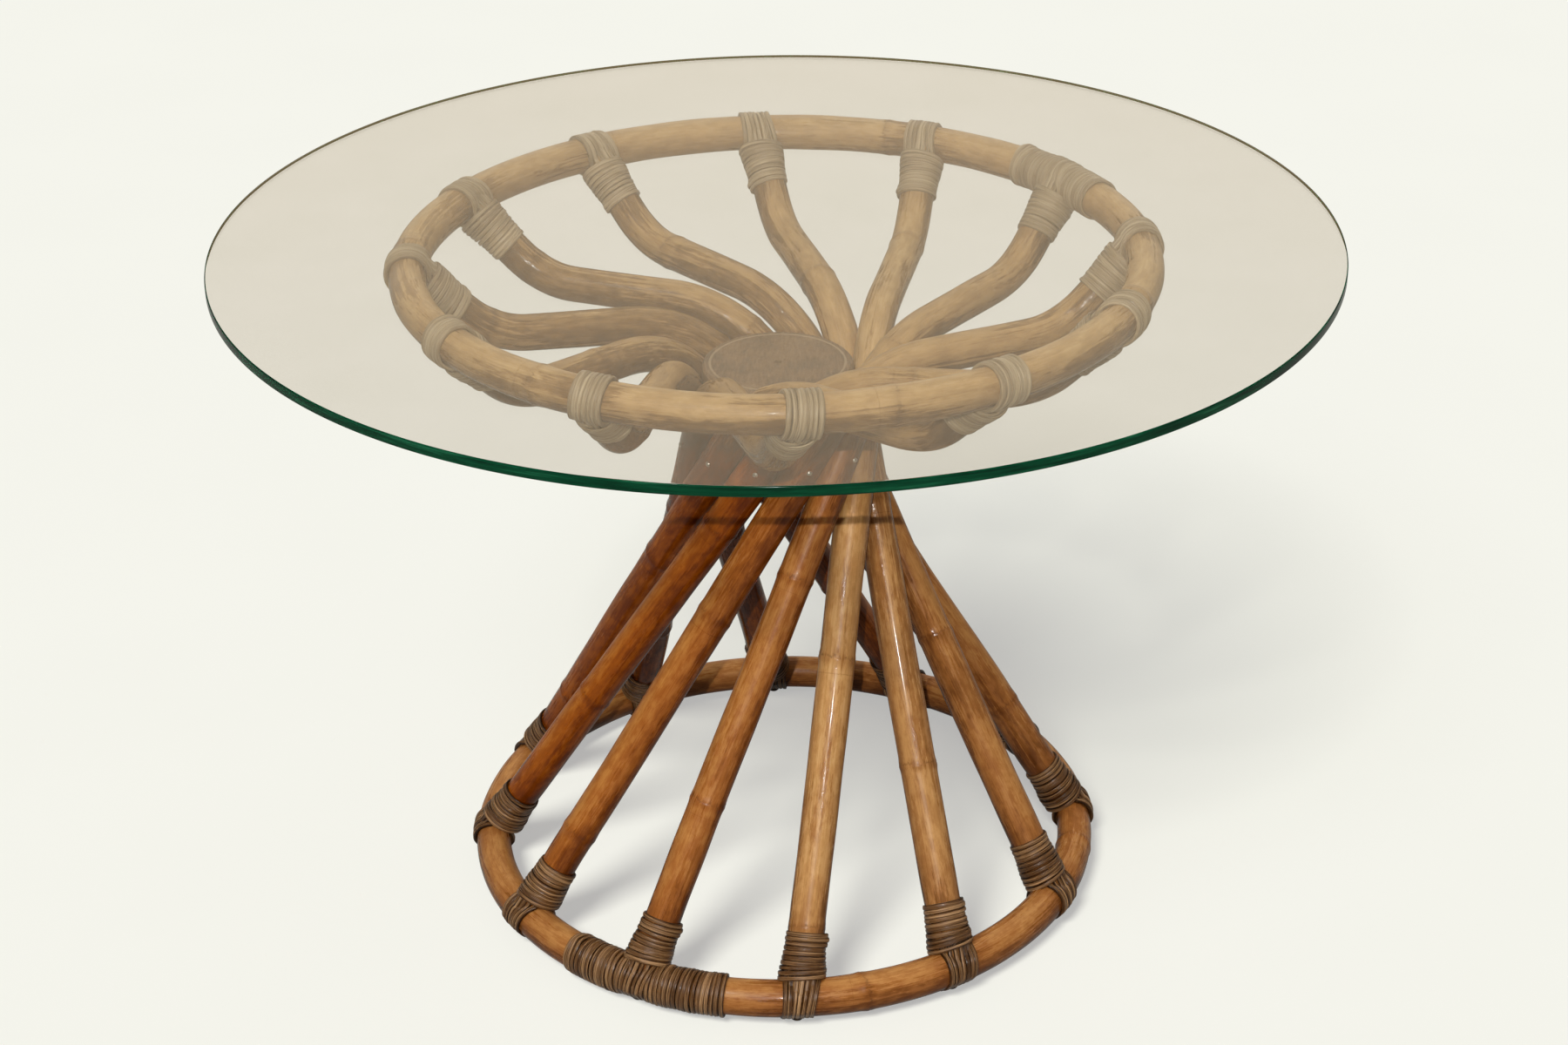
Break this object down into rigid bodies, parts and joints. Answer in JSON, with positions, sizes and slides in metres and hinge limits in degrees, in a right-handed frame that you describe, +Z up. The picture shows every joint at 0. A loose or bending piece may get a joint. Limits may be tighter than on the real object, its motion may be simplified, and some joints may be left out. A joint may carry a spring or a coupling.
{
  "type": "round glass dining table with twisted cane pedestal",
  "caption": "Round clear glass table top resting on a twisted pedestal of bent canes that join two hoops, with strip-bound joints and a wooden hub at the waist.",
  "frame": {"origin": "on the floor, under the middle of the glass top", "axes": "+Z up, -Y towards the viewer of the picture, +X to the viewer's right"},
  "size_m": [1.0998, 1.1, 0.715],
  "materials": {
    "glass": "clear, polished edge",
    "cane": "lacquered rattan pole",
    "hoop_cane": "lacquered rattan pole",
    "binding": "lacquered cane peel strip",
    "hub_wood": "dull turned hardwood",
    "nail_steel": "plain steel"
  },
  "bodies": {
    "pedestal": {"base_hoop": "hoop_cane", "upper_hoop": "hoop_cane", "hub": "hub_wood", "cane_01": "cane", "cane_02": "cane", "cane_03": "cane", "cane_04": "cane", "cane_05": "cane", "cane_06": "cane", "cane_07": "cane", "cane_08": "cane", "cane_09": "cane", "cane_10": "cane", "cane_11": "cane", "cane_12": "cane", "base_binding_01": "binding", "base_binding_02": "binding", "base_binding_03": "binding", "base_binding_04": "binding", "base_binding_05": "binding", "base_binding_06": "binding", "base_binding_07": "binding", "base_binding_08": "binding", "base_binding_09": "binding", "base_binding_10": "binding", "base_binding_11": "binding", "base_binding_12": "binding", "upper_binding_01": "binding", "upper_binding_02": "binding", "upper_binding_03": "binding", "upper_binding_04": "binding", "upper_binding_05": "binding", "upper_binding_06": "binding", "upper_binding_07": "binding", "upper_binding_08": "binding", "upper_binding_09": "binding", "upper_binding_10": "binding", "upper_binding_11": "binding", "upper_binding_12": "binding", "base_splice_wrap": "binding", "upper_splice_wrap": "binding", "hub_nails": "nail_steel", "base_screws": "nail_steel", "upper_screws": "nail_steel", "glide_nails": "nail_steel"},
    "glass": {"glass_top": "glass"}
  },
  "joints": [
    {"name": "glass_lift", "type": "slide", "parent": "pedestal", "child": "glass", "axis": [0, 0, 1], "range_m": [0, 0.3]}
  ]
}
